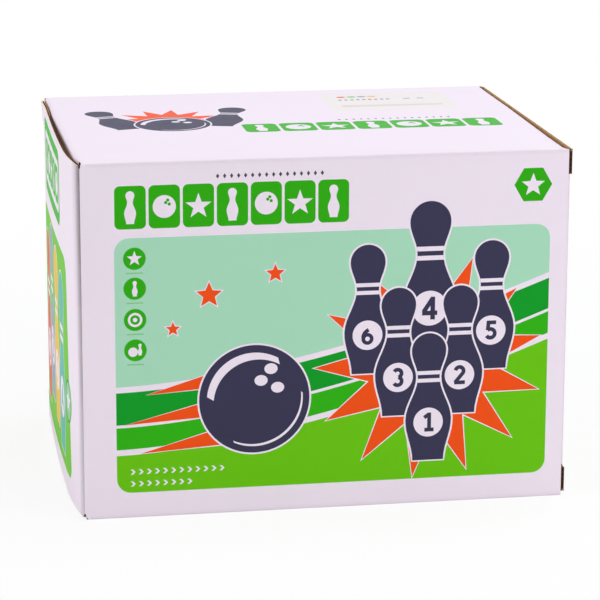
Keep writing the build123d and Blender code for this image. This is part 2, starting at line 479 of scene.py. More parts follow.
# the closures' print, seen from outside with the free edge at the left
endPrint = {
    "frame": ((20, 179, 165, 231, 9), (27, 187, 158, 223, 5)),      # outside and inside
    "tiles": (31, 192, 123, 26),
    "panel": ((4, 10), (214, 15), (200, 165), (4, 166)),
    "panelRound": (4, 9, 14, 4),
    # place of the foot, and ink
    "pins": ((34, 24, "red"), (76, 36, "slate"), (120, 30, "yellow"), (162, 22, "teal")),
    "pinTall": 126,
    "seal": (203, 68),
    "sealRings": (("deepGreen", 14, 15), ("faintGreen", 12, 13)),     # half as wide and as tall
    "sealStar": (9, 4, 5),
}


# a frame of tiles, and a panel with four pins and a seal
def endArt():
    outer, inner = endPrint["frame"]
    parts = [("midGreen", box(*outer)), ("paper", box(*inner))]
    parts += tileRow(*endPrint["tiles"], "midGreen", 5)
    parts.append(("leaf", rounded(endPrint["panel"], endPrint["panelRound"])))
    for index, (x, y, ink) in enumerate(endPrint["pins"]):
        parts += pinPicture(x, y, endPrint["pinTall"], ink, index + 1)
    for ink, wide, tall in endPrint["sealRings"]:
        parts.append((ink, oval(*endPrint["seal"], wide, tall)))
    parts.append(("paper", star(*endPrint["seal"], *endPrint["sealStar"])))
    return parts


# Board: two liners with a fluted medium between them

board = {
    "liner": 0.5,                     # white outer paper
    "backing": 0.28,                  # brown inner paper
    "medium": 0.2,
    "flutePitch": 3.3,
    "fluteSteps": 8,
    "fluteInset": 0.05,               # the medium's edge, in from a cut across the flutes
    "waveInset": 0.02,                # and from a cut along them
    "fluteStations": (0, 4, 9, 15, 22, 30),     # points along a flute, from each of its ends
    "fluteSteady": 9,                 # even points from the last of these to the other end's
    "fluteShort": 6,                  # points along a flute that is too short for them
    "lattice": 9.0,
    "latticeShares": (0.36, 0.5, 0.68, 0.84, 1.0, 1.5, 3.0),    # lines beside a fold, of its radius
    "dent": 0.25,                     # how far the flat walls sink between their creases
    "dentEdge": 30.0,                 # from an edge to where the sinking is full
    "dentEven": 0.6,                  # share of it that is even, while the rest swells slowly
    "dentWaves": (41, 33),            # millimetres to a radian of that swell, both ways
    "endFlutes": 1.6,                 # from a cut along the flutes, where the medium is as golden
    "foldWear": 0.12,                 # darkening of the print on a rigid fold
    "foldWearReach": 2.0,
    "sharp": 50,                      # degrees between faces that are shaded apart
}
# material slots of every board
printSlot, linerSlot, mediumSlot, goldenSlot, darkSlot, paleSlot, shadedEdgeSlot = range(7)


# a point is inside where a ray to its right crosses the outline an odd number of times
def insideOf(points, outline):
    x, y = points[:, 0, None], points[:, 1, None]
    x0, y0 = outline[:, 0], outline[:, 1]
    x1, y1 = np.roll(x0, -1), np.roll(y0, -1)
    rise = np.where(y1 == y0, 1.0, y1 - y0)
    crossed = ((y0 > y) != (y1 > y)) & (x < x0 + (y - y0) * (x1 - x0) / rise)
    return crossed.sum(1) % 2 == 1


# outline with a further point wherever one of its sides crosses a lattice line
def crossedBy(outline, lines, column):
    way = np.roll(outline, -1, 0) - outline
    run = np.where(np.abs(way[:, column]) < 1e-6, 1e9, way[:, column])
    share = (lines - outline[:, column, None]) / run[:, None]
    side, line = np.nonzero((share > 1e-4) & (share < 1 - 1e-4))
    place = np.sort(np.append(np.arange(len(outline)), side + share[side, line]))
    side = np.minimum(place.astype(int), len(outline) - 1)
    return outline[side] + (place - side)[:, None] * way[side]


# triangles that fill an outline and follow every edge of the print, with the ink that lies on top
def tile(outline, art, linesA, linesB):
    def cut(loop):
        return crossedBy(crossedBy(loop, linesA, 0), linesB, 1)

    grid = np.stack(np.meshgrid(linesA, linesB), -1).reshape(-1, 2)
    grid = grid[insideOf(grid, outline)]
    clips = {id(part[2]): part[2] for part in art if len(part) > 2}
    loops = [cut(loop) for loop in [outline] + [part[1] for part in art] + list(clips.values())]
    ends = np.cumsum([len(loop) for loop in loops])
    rounds = [np.arange(end - len(loop), end) for loop, end in zip(loops, ends)]
    edges = np.vstack([np.column_stack([around, np.roll(around, -1)]) for around in rounds])
    made, _, faces, *_ = delaunay_2d_cdt(np.vstack(loops + [grid]).tolist(), edges.tolist(), [], 0, 1e-4)
    flat = np.array(made, float)
    faces = np.array(faces)
    faces = faces[insideOf(flat[faces].mean(1), outline)]
    a, b, c = flat[faces[:, 0]], flat[faces[:, 1]], flat[faces[:, 2]]
    area = (b[:, 0] - a[:, 0]) * (c[:, 1] - a[:, 1]) - (b[:, 1] - a[:, 1]) * (c[:, 0] - a[:, 0])
    faces[area < 0] = faces[area < 0][:, ::-1]
    faces = faces[np.abs(area) > 1e-7]
    used, faces = np.unique(faces, return_inverse=True)
    flat, faces = flat[used], faces.reshape(-1, 3)
    centres = flat[faces].mean(1)
    colours = np.tile(inks["paper"], (len(faces), 1))
    for ink, shape, *clip in art:
        near = np.flatnonzero(np.all((centres >= shape.min(0)) & (centres <= shape.max(0)), axis=1))
        hit = insideOf(centres[near], shape)
        for limit in clip:
            hit &= insideOf(centres[near], limit)
        colours[near[hit]] = inks[ink]
    return flat, faces, colours


# a sheet at two depths, closed by a rim along its free edges
def shell(flat, faces, upper, lower):
    count = len(flat)
    points = np.vstack([np.column_stack([flat, np.broadcast_to(upper, count)]),
                        np.column_stack([flat, np.broadcast_to(lower, count)])])
    sides = np.vstack([faces[:, [0, 1]], faces[:, [1, 2]], faces[:, [2, 0]]])
    keys = sides[:, 0] * count + sides[:, 1]
    free = sides[~np.isin(keys, sides[:, 1] * count + sides[:, 0])]
    i, j = free.T
    rim = np.vstack([np.column_stack([i, i + count, j + count]), np.column_stack([i, j + count, j])])
    return points, [faces, faces[:, ::-1] + count, rim]


# triangles with their slots, and values on face corners where they have three columns, else on points
def buildMesh(name, points, triangles, materials, slots, flatFaces, attributes):
    mesh = bpy.data.meshes.new(name)
    mesh.vertices.add(len(points))
    mesh.vertices.foreach_set("co", (points * mm).astype(np.float32).ravel())
    mesh.loops.add(triangles.size)
    mesh.loops.foreach_set("vertex_index", triangles.astype(np.int32).ravel())
    mesh.polygons.add(len(triangles))
    mesh.polygons.foreach_set("loop_start", np.arange(0, triangles.size, 3, dtype=np.int32))
    mesh.polygons.foreach_set("material_index", slots.astype(np.int32))
    mesh.polygons.foreach_set("use_smooth", ~flatFaces)
    for key, values in attributes.items():
        if values.ndim == 2:
            colour = mesh.attributes.new(key, "FLOAT_COLOR", "CORNER")
            rows = np.column_stack([values, np.ones(len(values))]).repeat(3, 0)
            colour.data.foreach_set("color", rows.astype(np.float32).ravel())
        else:
            number = mesh.attributes.new(key, "FLOAT", "POINT")
            number.data.foreach_set("value", values.astype(np.float32))
    for material in materials:
        mesh.materials.append(material)
    mesh.update(calc_edges=True)
    mesh.set_sharp_from_angle(angle=math.radians(board["sharp"]))
    piece = bpy.data.objects.new(name, mesh)
    bpy.context.scene.collection.objects.link(piece)
    return piece


# distance to the nearest of the rigid folds
def foldDistance(flat, folds):
    reach = np.full(len(flat), 1e3)
    for side, place in folds.items():
        reach = np.minimum(reach, np.abs(flat[:, 0 if side in ("left", "right") else 1] - place))
    return reach


# fall of the outer face within a fold's radius: a quarter circle
def roundDrop(distance):
    radius = carton["foldRadius"]
    return radius - np.sqrt(radius ** 2 - np.clip(radius - distance, 0, radius) ** 2)


# painted shade of a closure's fold, together with rubbed print, on the closure beside its hinge
shadeAndRub = {
    "strength": (0.45, 1.0),          # beside the crease, at its foot and top
    "reach": (10.5, 16.0),            # how far from the crease it fades away, at its foot and top
    "fade": 1.6,                      # power of the fading
    "onset": 0.2,                     # share of it on the crease itself
    "setIn": 0.4,                     # rises by the whole in this distance
}


# greying of a closure beside its crease, painted shade of the rounded fold together with rubbed print: it
# sets in at the crease and fades as one less a power of the distance
def rubbed(distance, height):
    share = height / cartonHeight
    fading = 1 - np.clip(distance / np.interp(share, (0, 1), shadeAndRub["reach"]), 0, 1) ** shadeAndRub["fade"]
    start = np.clip(distance / shadeAndRub["setIn"] + shadeAndRub["onset"], 0, 1)
    return fading * start * np.interp(share, (0, 1), shadeAndRub["strength"])


# outline held a little way inside the corner line of each fold
def heldBack(outline, folds, inset):
    outline = np.array(outline, float)
    for side, place in folds.items():
        column = 0 if side in ("left", "right") else 1
        if side in ("left", "bottom"):
            outline[:, column] = np.maximum(outline[:, column], place + inset)
        else:
            outline[:, column] = np.minimum(outline[:, column], place - inset)
    return outline


# lattice lines at an even step, closer together beside the folds
def lattice(low, high, folds):
    lines = np.linspace(low, high, int((high - low) / board["lattice"]) + 2)
    close = carton["foldRadius"] * np.array(board["latticeShares"])
    for place in folds:
        lines = np.append(lines, place + close if place <= low + 1 else place - close)
    return np.unique(lines)


# slots of a rim: golden along the flutes, and dark where the cut runs across them, painted shade in the open
# flutes
def rimSlots(points, rim, across):
    way = np.abs(points[rim[:, 2]] - points[rim[:, 0]])
    return np.where(way[:, across] > way[:, 1 - across], darkSlot, goldenSlot)


# a wall or flap: every point of its outline stands at corner + a right + b up, and falls back from
# that plane by its depth in the board, by the quarter circle of a fold and by the wall's own hollow.
# lean pushes it out, hinge starts a closure's greying (painted shade of its fold, with rubbed print), edges
# gives a rim's slots, and pale lists those that turn pale on the printed liner.
def makeBoard(name, body, node, corner, right, up, outline, folds, art=(), lean=None, fluteAcross=1,
              hinge=None, edges=rimSlots, pale=(), endFlutes=board["endFlutes"]):
    corner, right, up = (np.array(v, float) for v in (corner, right, up))
    outward = np.cross(right, up)
    thick = boardThickness
    low, high = np.min(outline, 0), np.max(outline, 0)

    def settle(flat):                 # the wall's own hollow, nought at its edges
        edge = np.minimum(flat - low, high - flat) / board["dentEdge"]
        share = np.prod(np.sin(np.clip(edge, 0, 1) * math.pi / 2) ** 2, axis=1)
        swell = flat / board["dentWaves"] + len(name)
        even = board["dentEven"]
        wander = even + (1 - even) * np.sin(swell[:, 0]) * np.cos(swell[:, 1])
        return (lean(flat) if lean else 0) - board["dent"] * share * wander

    def place(points, drop):
        away = settle(points[:, :2]) - points[:, 2] - drop
        return corner + points[:, :1] * right + points[:, 1:2] * up + away[:, None] * outward

    sideFolds = [folds[side] for side in ("left", "right") if side in folds]
    endFolds = [folds[side] for side in ("bottom", "top") if side in folds]
    linesA, linesB = lattice(low[0], high[0], sideFolds), lattice(low[1], high[1], endFolds)
    pieces = []
    # outer liner, printed
    flat, faces, colours = tile(heldBack(outline, folds, mitreTip), art, linesA, linesB)
    points, sets = shell(flat, faces, 0.0, board["liner"])
    drop = np.tile(roundDrop(foldDistance(flat, folds)), 2)
    if hinge is None:
        nearness = foldDistance(points[:, :2], folds) / board["foldWearReach"]
        wearAndShade = board["foldWear"] * np.exp(-nearness ** 2)
    else:
        # beside a closure's hinge: painted shade of the fold, with rubbed print
        wearAndShade = rubbed(hinge - points[:, 0], points[:, 1])
    rim = edges(points, sets[2], fluteAcross)
    rim = np.where(np.isin(rim, pale), paleSlot, rim)
    across = points[:, fluteAcross]
    pieces.append((place(points, drop), sets, (printSlot, linerSlot, rim), colours, wearAndShade, across))
    # inner liner, plain
    flat, faces, colours = tile(heldBack(outline, folds, thick), (), linesA, linesB)
    points, sets = shell(flat, faces, thick - board["backing"], thick)
    rim = edges(points, sets[2], fluteAcross)
    across = points[:, fluteAcross]
    pieces.append((place(points, 0), sets, (linerSlot, linerSlot, rim), colours, 0 * across, across))
    # medium: the first and last flutes show at the cut and are as golden as it
    points, sets = fluted(heldBack(outline, folds, thick), fluteAcross)
    across = points[:, fluteAcross]
    fromEdge = np.minimum(across - low[fluteAcross], high[fluteAcross] - across)
    cores = [np.where(fromEdge[faces].mean(1) < endFlutes, goldenSlot, mediumSlot) for faces in sets]
    pieces.append((place(points, 0), sets, cores, None, 0 * across, across))
    piece = joinParts(name, pieces)
    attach(piece, body)
    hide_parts(node)
    return piece


# medium between the liners: a cosine wave across the flutes, on straight lines that run along them
# from edge to edge of the outline
def fluted(outline, across):
    liner, backing, medium, thick = board["liner"], board["backing"], board["medium"], boardThickness
    pitch, steps = board["flutePitch"], board["fluteSteps"]
    low = outline[:, across].min() + board["waveInset"]
    high = outline[:, across].max() - board["waveInset"]
    lines = np.linspace(low, high, int((high - low) / pitch * steps) + 2)
    t0, s0 = outline[:, across], outline[:, 1 - across]
    t1, s1 = np.roll(t0, -1), np.roll(s0, -1)
    rise = np.where(t1 == t0, 1.0, t1 - t0)
    hit = s0 + (lines[:, None] - t0) * (s1 - s0) / rise
    crossed = (t0 > lines[:, None]) != (t1 > lines[:, None])
    start = np.where(crossed, hit, 1e9).min(1) + board["fluteInset"]
    end = np.where(crossed, hit, -1e9).max(1) - board["fluteInset"]
    length = np.median(end - start)
    close = np.array(board["fluteStations"]) / length
    steady = np.linspace(close[-1], 1 - close[-1], board["fluteSteady"])
    along = np.concatenate([close, steady[1:-1], 1 - close[::-1]])
    long = length > 2 * board["fluteStations"][-1] + board["lattice"]
    along = np.unique(np.clip(along, 0, 1)) if long else np.linspace(0, 1, board["fluteShort"])
    reach = start[:, None] + (end - start)[:, None] * along
    flat = np.empty((lines.size, along.size, 2))
    flat[..., across], flat[..., 1 - across] = lines[:, None], reach
    swing = (thick - liner - backing - medium) / 2
    wave = (thick + liner - backing) / 2 + swing * np.cos(2 * math.pi * lines / pitch)
    wave = np.repeat(wave, along.size)
    index = np.arange(lines.size * along.size).reshape(lines.size, along.size)
    a, b = index[:-1, :-1].ravel(), index[1:, :-1].ravel()
    c, d = index[1:, 1:].ravel(), index[:-1, 1:].ravel()
    faces = np.vstack([np.column_stack([a, b, c]), np.column_stack([a, c, d])])
    if across == 1:
        faces = faces[:, ::-1]
    return shell(flat.reshape(-1, 2), faces, wave - medium / 2, wave + medium / 2)


# the liners and the medium put into one mesh, one after another
def joinParts(name, pieces):
    points, triangles, slots, flats, colours, wearAndShades, flutes = [], [], [], [], [], [], []
    count = 0
    for places, sets, numbers, inked, wearAndShade, flute in pieces:
        points.append(places)
        wearAndShades.append(wearAndShade)
        flutes.append(flute)
        for order, (faces, number) in enumerate(zip(sets, numbers)):
            triangles.append(faces + count)
            slots.append(np.full(len(faces), number))
            flats.append(np.full(len(faces), order == 2))
            printed = order == 0 and inked is not None and len(inked) == len(faces)
            colours.append(inked if printed else np.tile(inks["paper"], (len(faces), 1)))
        count += len(places)
    made = [np.concatenate(group) for group in (points, triangles, slots, flats, colours, wearAndShades, flutes)]
    return buildMesh(name, made[0], made[1], boardMaterials, made[2], made[3],
                     {"ink": made[4], "wearAndShade": made[5], "flute": made[6]})


crease = {
    "reach": 4.0,                     # board that a folding crease takes in on each side
    "arcSteps": 9,
    "bead": 0.5,                      # crushed liner inside the fold
    "beadFoot": 0.9,                  # how far from the bead the inner face starts to rise
    "beadRise": 0.12,
    # nick cut from the outer face at a closure fold's foot and top: on the wall, on the flap, deep
    "nick": ((1.3, 3.6, 3.4), (1.0, 3.6, 1.4)),
    "nickSlope": 0.4,                 # width of its steep side on the wall
    "stations": 26,                   # along the fold
    "endShares": (0.001, 0.0022, 0.004, 0.007, 0.012),      # further ones close to the two ends
    "crownDepth": 60.0,               # how far down the flap a fold that rounds out fades away
    "wearAndShade": 0.1,
    "wearReach": 1.5,
    "blendReach": 1.5,                # to each side of the fold, where the two bodies are blended
}


# a folding crease: the board's section carried along the fold, p out along the wall and q down along
# the flap, where a quarter circle joins the two outer faces and a bead of crushed liner the inner ones
def makeCrease(name, corner, wallWay, flapWay, spanWay, wallSpan, flapSpan, folds, bulge=None,
               nick=None, shadedRubbedFlap=False, crown=None, sunk=None, caps=(darkSlot, darkSlot)):
    corner, wallWay, flapWay, spanWay = (np.array(v, float) for v in (corner, wallWay, flapWay, spanWay))
    reach, radius, thick = crease["reach"], carton["foldRadius"], boardThickness
    angle = np.radians(np.linspace(-90, -180, crease["arcSteps"]))
    outer = np.vstack([[(reach, 0), ((reach + radius) / 2, 0)],
                       np.column_stack([radius + radius * np.cos(angle), radius + radius * np.sin(angle)]),
                       [(0, (reach + radius) / 2), (0, reach)]])
    bead, rise, run = thick + crease["bead"], thick + crease["beadRise"], crease["beadFoot"]
    inner = np.array([(thick, reach), (thick, reach - run), (rise, thick + run), (bead, bead),
                      (thick + run, rise), (reach - run, thick), (reach, thick)])
    section = np.vstack([outer, inner])
    onWall = section[:, 0] > section[:, 1] + 1e-6
    isOuter = np.arange(len(section)) < len(outer)
    lowFold, highFold = folds
    inset = np.where(isOuter, mitreTip, thick)
    low = np.where(onWall, wallSpan[0] + inset * lowFold, flapSpan[0])
    high = np.where(onWall, wallSpan[1] - inset * highFold, flapSpan[1])
    if nick:                          # steep on the wall, sloping off along the flap
        cuts = []
        for wallWide, flapWide, _ in nick:
            steep = np.clip((wallWide - section[:, 0]) / crease["nickSlope"], 0, 1)
            cuts.append(isOuter * steep * np.clip(1 - section[:, 1] / flapWide, 0, 1))
        low = low + cuts[0] * (flapSpan[0] + nick[0][2] - low)
        high = high + cuts[1] * (flapSpan[1] - nick[1][2] - high)
    close = np.array(crease["endShares"])
    share = np.unique(np.concatenate([np.linspace(0, 1, crease["stations"]), close, 1 - close]))
    stations = low[:, None] + (high - low)[:, None] * share
    p = np.repeat(section[:, :1], share.size, 1)
    q = np.repeat(section[:, 1:], share.size, 1)
    fall = np.maximum(roundDrop(stations - wallSpan[0]) * lowFold,
                      roundDrop(wallSpan[1] - stations) * highFold)
    q = np.where((onWall & isOuter)[:, None], np.maximum(q, fall), q)
    if bulge:
        wallBulge, flapBulge = bulge
        q = q - np.where(onWall[:, None], wallBulge(p, stations), 0)
        p = p - np.where(~onWall[:, None], flapBulge(q, stations), 0)
    if sunk:                          # the wall lies lower here, and its fold with it
        q = q + sunk(stations) * np.where(onWall[:, None], 1, np.clip(1 - q / reach, 0, 1))
    if crown:                         # the fold rounds out, from nothing where the wall begins
        depth = np.clip(q / crease["crownDepth"], 0, 1)
        p = p - crown(stations) * np.clip(1 - p / reach, 0, 1) * (1 - depth) ** 2
    points = corner + p[..., None] * wallWay + q[..., None] * flapWay + stations[..., None] * spanWay
    rows, columns = p.shape
    index = np.arange(rows * columns).reshape(rows, columns)
    ahead = np.roll(index, -1, 0)
    a, b, c, d = index[:, :-1].ravel(), ahead[:, :-1].ravel(), ahead[:, 1:].ravel(), index[:, 1:].ravel()
    faces = np.vstack([np.column_stack([a, b, c]), np.column_stack([a, c, d])])
    band = np.tile(np.repeat(np.arange(rows), columns - 1), 2)
    # end caps: the section's own strip of triangles between its outer and inner path
    half = len(outer)
    insideRow = np.round(np.linspace(rows - 1, half, half)).astype(int)
    capA = np.column_stack([np.arange(half - 1), np.arange(1, half), insideRow[1:]])
    capB = np.column_stack([np.arange(half - 1), insideRow[1:], insideRow[:-1]])
    cap = np.vstack([capA, capB])
    cap = cap[(cap[:, 0] != cap[:, 1]) & (cap[:, 1] != cap[:, 2]) & (cap[:, 0] != cap[:, 2])]
    first, last = index[:, 0][cap], index[:, -1][cap]
    outwardUp = np.dot(np.cross(flapWay, wallWay), spanWay) > 0
    if outwardUp:
        first = first[:, ::-1]
    else:
        faces, last = faces[:, ::-1], last[:, ::-1]
    triangles = np.vstack([faces, first, last])
    inside = (band >= half) & (band < rows - 1)
    slots = np.where(band < half - 1, printSlot, np.where(inside, linerSlot, goldenSlot))
    # the end caps, dark by default: painted shade in the open flutes at the cut
    slots = np.concatenate([slots, np.full(len(first), caps[0]), np.full(len(last), caps[1])])
    flat = points.reshape(-1, 3)
    # the fold's middle is greyed a little; on a closure's crease the flap's outer face is greyed from the
    # fold on instead, painted shade of the fold with rubbed print, and the wall's stays clean
    nearness = (section[:, :1] - section[:, 1:]) / crease["wearReach"]
    wearAndShade = crease["wearAndShade"] * np.exp(-nearness ** 2) * isOuter[:, None] + 0 * stations
    if shadedRubbedFlap:
        wearAndShade = rubbed(section[:, 1:], stations) * (isOuter & ~onWall)[:, None]
    ends = slots > mediumSlot
    colours = np.tile(inks["paper"], (len(triangles), 1))
    piece = buildMesh(name, flat, triangles, boardMaterials, slots, ends,
                      {"ink": colours, "wearAndShade": wearAndShade.ravel(), "flute": stations.ravel()})
    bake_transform(piece)
    return piece


# Materials

# node tree with small helpers that add a node and wire its inputs
class Tree:
    def __init__(self, tree):
        self.tree = tree

    # set_... is a property of the node, i0, i1 and so on an input by number, and the rest by name
    def add(self, kind, output=0, **values):
        node = self.tree.nodes.new(kind)
        for key, value in values.items():
            if key.startswith("set_"):
                setattr(node, key[4:], value)
        for key, value in values.items():
            if key.startswith("set_"):
                continue
            numbered = key[0] == "i" and key[1:].isdigit()
            socket = node.inputs[int(key[1:]) if numbered else key.replace("_", " ")]
            if isinstance(value, bpy.types.NodeSocket):
                self.tree.links.new(value, socket)
            else:
                socket.default_value = value
        return node.outputs[output]

    def place(self):                  # Object coordinates
        return self.add("ShaderNodeTexCoord", 3)

    def maths(self, operation, *values):
        inputs = {"i" + str(index): value for index, value in enumerate(values)}
        return self.add("ShaderNodeMath", 0, set_operation=operation, **inputs)

    def noise(self, place, scale, detail, roughness=0.5):
        return self.add("ShaderNodeTexNoise", 0, Vector=place, Scale=scale, Detail=detail,
                        Roughness=roughness)

    def spread(self, value, low, high, start=0.0, end=1.0):
        return self.add("ShaderNodeMapRange", 0, Value=value, From_Min=start, From_Max=end,
                        To_Min=low, To_Max=high)

    def mixed(self, amount, first, second):
        return self.add("ShaderNodeMix", 2, set_data_type="RGBA", i0=amount, i6=first, i7=second)

    def bump(self, strength, distance, height):
        return self.add("ShaderNodeBump", 0, Strength=strength, Distance=distance, Height=height)


# a material with an empty tree
def newMaterial(name):
    material = bpy.data.materials.new(name)
    material.use_nodes = True
    material.node_tree.nodes.clear()
    return material, Tree(material.node_tree)


# a principled shader with these sockets as its surface
def finishMaterial(tree, **sockets):
    output = tree.tree.nodes.new("ShaderNodeOutputMaterial")
    surface = tree.add("ShaderNodeBsdfPrincipled", **sockets)
    tree.tree.links.new(surface, output.inputs["Surface"])


# opaque
def rgba(colour):
    return (*colour.tolist(), 1.0)


# paper fibre: two scales of noise that shade a colour, and the finer one as height
def fibreGroup():
    group = bpy.data.node_groups.new("paperFibre", "ShaderNodeTree")
    sockets = {"INPUT": {"Colour": "Color", "Mottle": "Float", "Scale": "Float"},
               "OUTPUT": {"Colour": "Color", "Height": "Float"}}
    for way, kinds in sockets.items():
        for name, kind in kinds.items():
            group.interface.new_socket(name=name, in_out=way, socket_type="NodeSocket" + kind)
    tree = Tree(group)
    given = group.nodes.new("NodeGroupInput")
    taken = group.nodes.new("NodeGroupOutput")
    place = tree.place()
    fine = tree.noise(place, given.outputs["Scale"], 5.0, 0.65)
    broad = tree.noise(place, 14.0, 2.0)
    both = tree.maths("MULTIPLY_ADD", broad, 0.5, tree.maths("MULTIPLY", fine, 0.5))
    centred = tree.maths("SUBTRACT", both, 0.5)
    shade = tree.maths("MULTIPLY_ADD", centred, given.outputs["Mottle"], 1.0)
    shaded = tree.add("ShaderNodeVectorMath", 0, set_operation="MULTIPLY", i0=given.outputs["Colour"],
                      i1=shade)
    group.links.new(shaded, taken.inputs["Colour"])
    group.links.new(fine, taken.inputs["Height"])
    return group


fibre = fibreGroup()


# that group placed in a material: its colour and its height
def fibred(tree, colour, mottle, scale):
    node = tree.tree.nodes.new("ShaderNodeGroup")
    node.node_tree = fibre
    if isinstance(colour, bpy.types.NodeSocket):
        tree.tree.links.new(colour, node.inputs["Colour"])
    else:
        node.inputs["Colour"].default_value = rgba(colour)
    node.inputs["Mottle"].default_value = mottle
    node.inputs["Scale"].default_value = scale
    return node.outputs["Colour"], node.outputs["Height"]


litho = {
    "fibres": (0.06, 900.0),          # mottle and scale
    "patches": (60.0, 4.0, 0.7),      # scale, detail and roughness of their noise
    "patchShare": (0.85, 1.0, 0.3, 0.75),    # share of the greying, low and high, at these two noises
    # grey towards which worn folds, and the painted shade beside the closures' creases, are mixed
    "wearShadeGrey": "5C4E57",
    "ridge": 0.12,                    # height of the flutes' ridges to the fibres'
    "bump": (0.35, 0.00004),          # strength, and height in metres
    "roughness": (0.42, 0.52, 0.2, 0.8),    # low and high, at these two noises
    "specular": 0.14,
}


# white litho paper: ink from the face corners, greyed in patches by worn folds and by the painted shade
# beside the closures' creases, over the flutes' faint ridges
def printedBoard():
    material, tree = newMaterial("printed board")
    ink = tree.add("ShaderNodeAttribute", 0, set_attribute_name="ink")
    wearAndShade = tree.add("ShaderNodeAttribute", 2, set_attribute_name="wearAndShade")
    flute = tree.add("ShaderNodeAttribute", 2, set_attribute_name="flute")
    colour, height = fibred(tree, ink, *litho["fibres"])
    patches = tree.noise(tree.place(), *litho["patches"])
    amount = tree.maths("MULTIPLY", wearAndShade, tree.spread(patches, *litho["patchShare"]))
    greyedByWearAndShade = tree.mixed(amount, colour, rgba(linear(litho["wearShadeGrey"])))
    ridge = tree.maths("SINE", tree.maths("MULTIPLY", flute, 2 * math.pi / board["flutePitch"]))
    bump = tree.bump(*litho["bump"], tree.maths("MULTIPLY_ADD", ridge, litho["ridge"], height))
    rough = tree.spread(patches, *litho["roughness"])
    finishMaterial(tree, Base_Color=greyedByWearAndShade, Roughness=rough, Normal=bump,
                   Specular_IOR_Level=litho["specular"])
    return material


kraft = {"fibreScale": 1400.0, "bump": (0.5, 0.00008), "specular": 0.25}


# bare paper: one colour mottled by its fibres
def kraftPaper(name, code, mottle, roughness):
    material, tree = newMaterial(name)
    colour, height = fibred(tree, linear(code), mottle, kraft["fibreScale"])
    bump = tree.bump(*kraft["bump"], height)
    finishMaterial(tree, Base_Color=colour, Roughness=roughness, Normal=bump,
                   Specular_IOR_Level=kraft["specular"])
    return material


# colour, mottle and roughness, in the order of the slots
papers = {
    "kraft liner": ("A87C50", 0.5, 0.85),
    "fluted medium": ("6E4428", 0.6, 0.9),
    "cut along the flutes": ("E0BC86", 0.5, 0.9),
    # painted shade: the open flutes where a cut runs across them
    "cut across the flutes": ("36200F", 0.6, 0.9),
    "pale cut edge": ("EBD8C2", 0.3, 0.8),
    # painted shade: the left closure's top cut edge in the shadow of the top wall's fold
    "rubbed cut edge": ("4E2F1C", 0.6, 0.9),
}
boardMaterials = [printedBoard()] + [kraftPaper(name, *look) for name, look in papers.items()]
print("materials for the board made")

# The sleeve's walls

reach = crease["reach"]
x, y, z = np.eye(3)
# outer face of each closure, its way out, and how far in its dust flaps lie
sides = {"left": (leftFace, -1.0, carton["leftStep"]), "right": (rightFace, 1.0, endStep)}


printedFront = frontArt()
makeBoard("front_wall", "sleeve", "front_panel", (leftFace, frontFace, 0), x, z,
          rectangle(reach, 0, frontLength, cartonHeight), {"bottom": 0, "top": cartonHeight}, printedFront)

# the left closure's upper back corner, bent out with the back wall's raw edge a little short of it
bentCorner = {
    "out": 1.5,
    "gap": 0.2,                       # between the closure's corner and the back wall's
    "from": 205.0,                    # height at which it starts
    "tall": 30.0,                     # above that, where it is bent out in full
    "wide": 40.0,                     # before the tuck crease, where it starts
    "edge": 0.1,                      # from the back wall's end, where its cut is pale
}
bendHeights = np.linspace(bentCorner["from"], cartonHeight, 8)
bendShare = np.clip((bendHeights - bentCorner["from"]) / bentCorner["tall"], 0, 1)
bend = (bentCorner["out"] - bentCorner["gap"]) * bendShare ** 2
backOutline = np.vstack([[(reach, 0), (backLength, 0)], np.column_stack([backLength + bend, bendHeights]),
                         [(reach, cartonHeight)]])


# pale where it is bent
def backEdges(points, rim, across):
    start = points[rim[:, 0]]
    bent = (start[:, 0] > backLength - bentCorner["edge"]) & (start[:, 1] > bentCorner["from"])
    return np.where(bent, paleSlot, rimSlots(points, rim, across))


makeBoard("back_wall", "sleeve", "back_panel", (rightFace, backFace, 0), -x, z,
          backOutline, {"top": cartonHeight}, printedFront, edges=backEdges)

topWall = {
    "sunk": 1.0,                      # its right end under the closure's edge
    "sunkEnds": (8, 50, 160),         # from the front: full from here, to here, nought there
    "sunkReach": 45.0,                # from the right end, where the sinking starts
    "crown": 1.95,                    # left fold, rounded out over the gap behind the closure
    "crownRoom": 1.7,                 # left between that fold and the closure
    "hollow": 1.1,                    # right fold, that far in from the closure
    "hollowEnds": 8.0,                # its two ends, which stay where they are
}


# the top wall's right end lies a little under the closure's edge, but for its two corners
def sunkAt(distance):
    near, far, end = topWall["sunkEnds"]
    return topWall["sunk"] * np.clip(distance / near, 0, 1) * np.clip((end - distance) / (end - far), 0, 1)


# and rises from there as the square of the way in
def topSettles(flat):
    inward = (topLength - reach - flat[:, 0]) / topWall["sunkReach"]
    return -sunkAt(flat[:, 1]) * np.clip(1 - inward, 0, 1) ** 2


makeBoard("top_wall", "sleeve", "top_panel", (backLow[0], frontFace, cartonHeight), x, y,
          rectangle(reach, 0, topLength - reach, cartonDepth), {"bottom": 0, "top": cartonDepth}, topArt(),
          lean=topSettles)
bottomDepth = cartonDepth - boardThickness
makeBoard("bottom_wall", "sleeve", "bottom_panel", (backLow[0], backFace - boardThickness, 0), x, -y,
          rectangle(reach, 0, topLength - reach, bottomDepth), {"bottom": 0, "top": bottomDepth})
glueLength, glueTaper = glueHigh[0] - glueLow[0], 9.0
glueOutline = rectangle(0, 0, glueLength, glueHigh[2])
glueOutline[2:, 0] += (-glueTaper, glueTaper)
makeBoard("glue_lap", "sleeve", "glue_flap", (glueHigh[0], backFace - boardThickness, 0), -x, z,
          glueOutline, {"bottom": 0})
print("sleeve walls made")

# The two ends: closure, tuck flap and dust flaps, seen from outside with the free edge at the left

